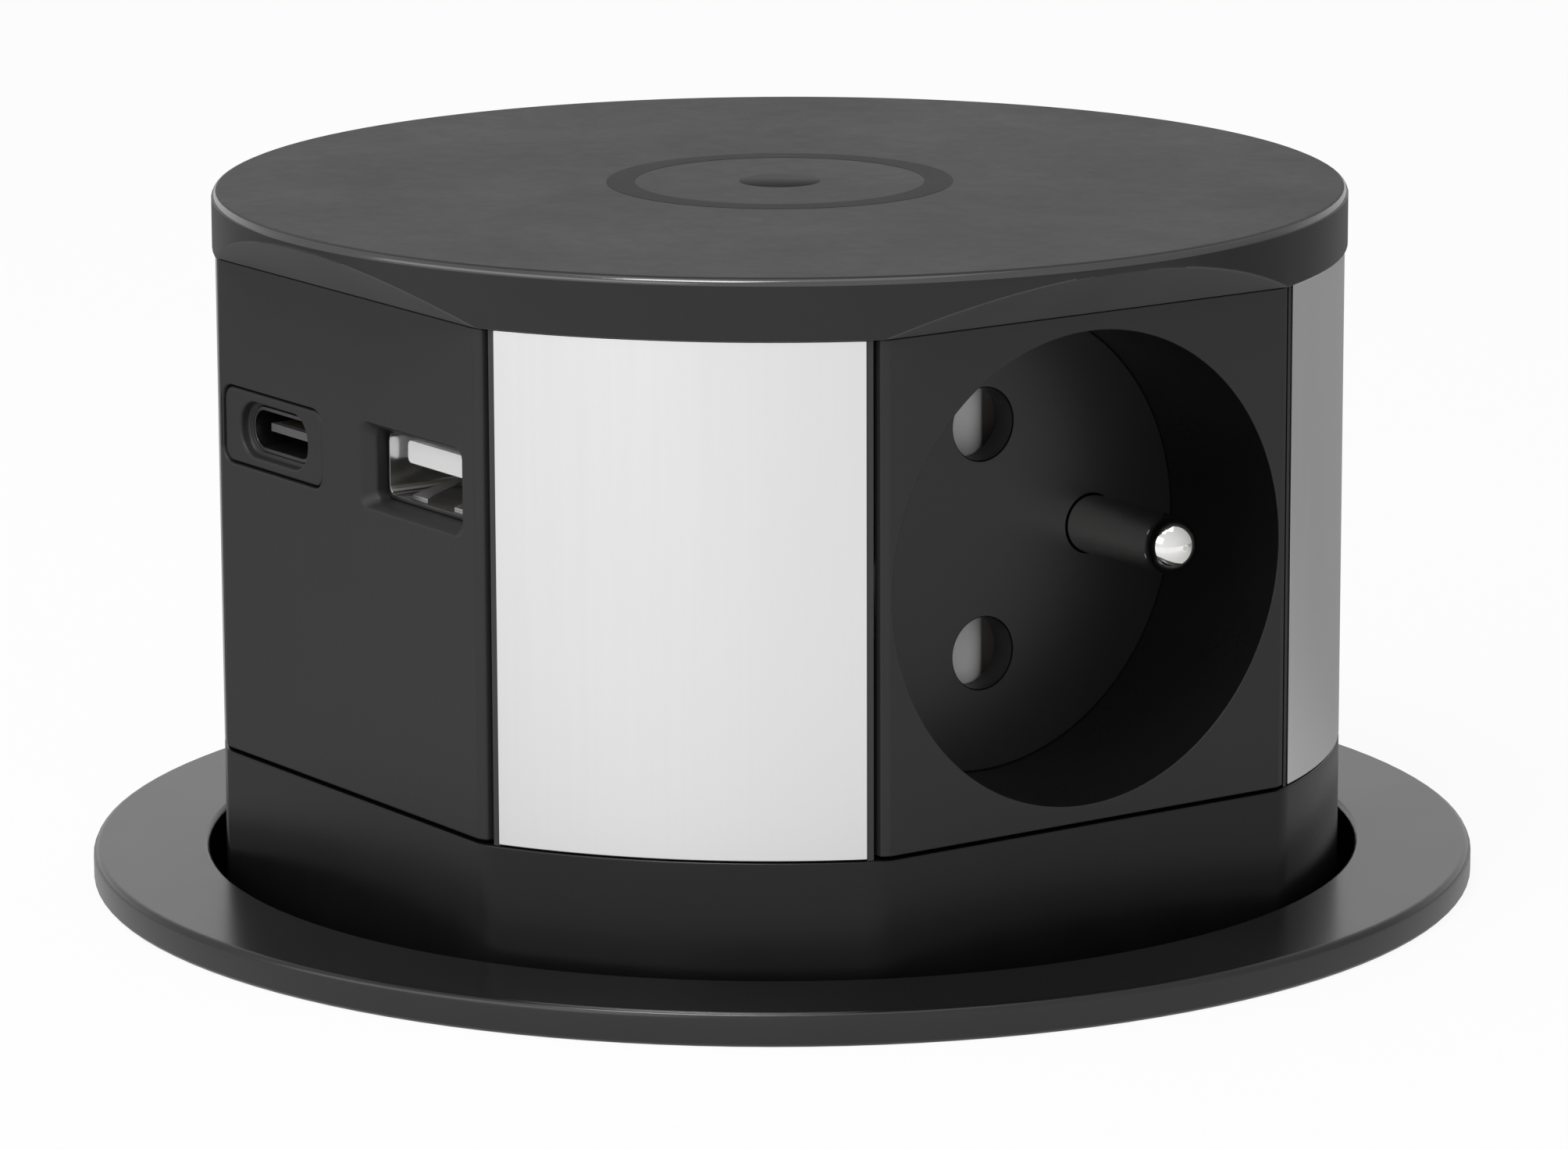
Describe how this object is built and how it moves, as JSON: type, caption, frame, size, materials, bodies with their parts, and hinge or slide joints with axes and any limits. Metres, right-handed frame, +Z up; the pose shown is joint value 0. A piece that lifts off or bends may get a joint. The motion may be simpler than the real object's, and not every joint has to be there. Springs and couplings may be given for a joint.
{
  "type": "in-desk power module",
  "caption": "Round pop-up desk power tower with earthed sockets, a USB face and a charging cap, sprung in a flanged barrel.",
  "frame": {"origin": "on the tower's axis, in the plane of the worktop's top face, under the flange", "axes": "+Z up along the tower's axis, out of the worktop; face 1 looks to -Y and the USB face to -X"},
  "size_m": [0.1168, 0.1168, 0.1496],
  "materials": {
    "black_moulding": "satin black moulded plastic",
    "hidden_moulding": "matt black moulded plastic",
    "cap_finish": "charcoal satin plastic",
    "face_moulding": "fine-grained black plastic",
    "brushed_panel": "matt anodised aluminium",
    "nickel_plating": "polished nickel plating",
    "contact_brass": "bare spring brass",
    "shutter_moulding": "mid grey plastic",
    "carrier_moulding": "natural glass-filled plastic",
    "port_shell": "plated steel shell",
    "usb_c_tongue_moulding": "black plastic with contacts",
    "usb_a_tongue_moulding": "white plastic with contacts",
    "circuit_board": "green solder mask",
    "electronic_part": "black component body",
    "coil_winding": "lacquered copper wire",
    "steel": "zinc-plated steel",
    "bush_moulding": "natural low-friction plastic",
    "catch_moulding": "dark grey plastic",
    "soft_rubber": "soft black rubber"
  },
  "bodies": {
    "housing": {"flanged_barrel": "black_moulding", "flange_gasket": "soft_rubber", "clamp_nut": "hidden_moulding", "floor_plate": "hidden_moulding", "floor_cover": "hidden_moulding", "floor_screws": "steel", "guide_rods": "steel", "lift_spring": "steel", "cable_grommet": "soft_rubber", "catch_body": "catch_moulding"},
    "tower": {"tower_base": "black_moulding", "base_cover": "hidden_moulding", "tower_frame": "hidden_moulding", "cap": "cap_finish", "socket_insert_1": "face_moulding", "socket_insert_2": "face_moulding", "socket_insert_3": "face_moulding", "usb_insert": "face_moulding", "usb_c_bezel": "face_moulding", "corner_panel_1": "brushed_panel", "corner_panel_2": "brushed_panel", "corner_panel_3": "brushed_panel", "corner_panel_4": "brushed_panel", "earth_pin_1": "nickel_plating", "earth_pin_2": "nickel_plating", "earth_pin_3": "nickel_plating", "pin_contacts_1": "contact_brass", "pin_contacts_2": "contact_brass", "pin_contacts_3": "contact_brass", "contact_carrier_1": "carrier_moulding", "contact_carrier_2": "carrier_moulding", "contact_carrier_3": "carrier_moulding", "terminal_block": "carrier_moulding", "usb_c_port": "port_shell", "usb_a_port": "port_shell", "usb_c_tongue": "usb_c_tongue_moulding", "usb_a_tongue": "usb_a_tongue_moulding", "usb_board": "circuit_board", "charger_board": "circuit_board", "usb_transformer": "electronic_part", "usb_capacitors": "electronic_part", "ferrite_shield": "electronic_part", "charging_coil": "coil_winding", "tower_screws": "steel", "guide_bushes": "bush_moulding", "striker": "catch_moulding"},
    "catch_plunger": {"catch_plunger": "bush_moulding"},
    "shutter_1": {"shutter_1": "shutter_moulding"},
    "shutter_2": {"shutter_2": "shutter_moulding"},
    "shutter_3": {"shutter_3": "shutter_moulding"}
  },
  "joints": [
    {"name": "tower_lift", "type": "slide", "parent": "housing", "child": "tower", "axis": [0, 0, 1], "range_m": [-0.0558, 0], "stiffness_N_per_m": 140, "springref_m": 0.06, "deforming": ["lift_spring"]},
    {"name": "catch_press", "type": "slide", "parent": "housing", "child": "catch_plunger", "axis": [0, 0, -1], "range_m": [0, 0.002], "stiffness_N_per_m": 300, "springref_m": -0.003},
    {"name": "shutter_1_slide", "type": "slide", "parent": "tower", "child": "shutter_1", "axis": [-1, 0, 0], "range_m": [0, 0.0064], "stiffness_N_per_m": 100, "springref_m": -0.003},
    {"name": "shutter_2_slide", "type": "slide", "parent": "tower", "child": "shutter_2", "axis": [0, -1, 0], "range_m": [0, 0.0064], "stiffness_N_per_m": 100, "springref_m": -0.003},
    {"name": "shutter_3_slide", "type": "slide", "parent": "tower", "child": "shutter_3", "axis": [1, 0, 0], "range_m": [0, 0.0064], "stiffness_N_per_m": 100, "springref_m": -0.003}
  ]
}
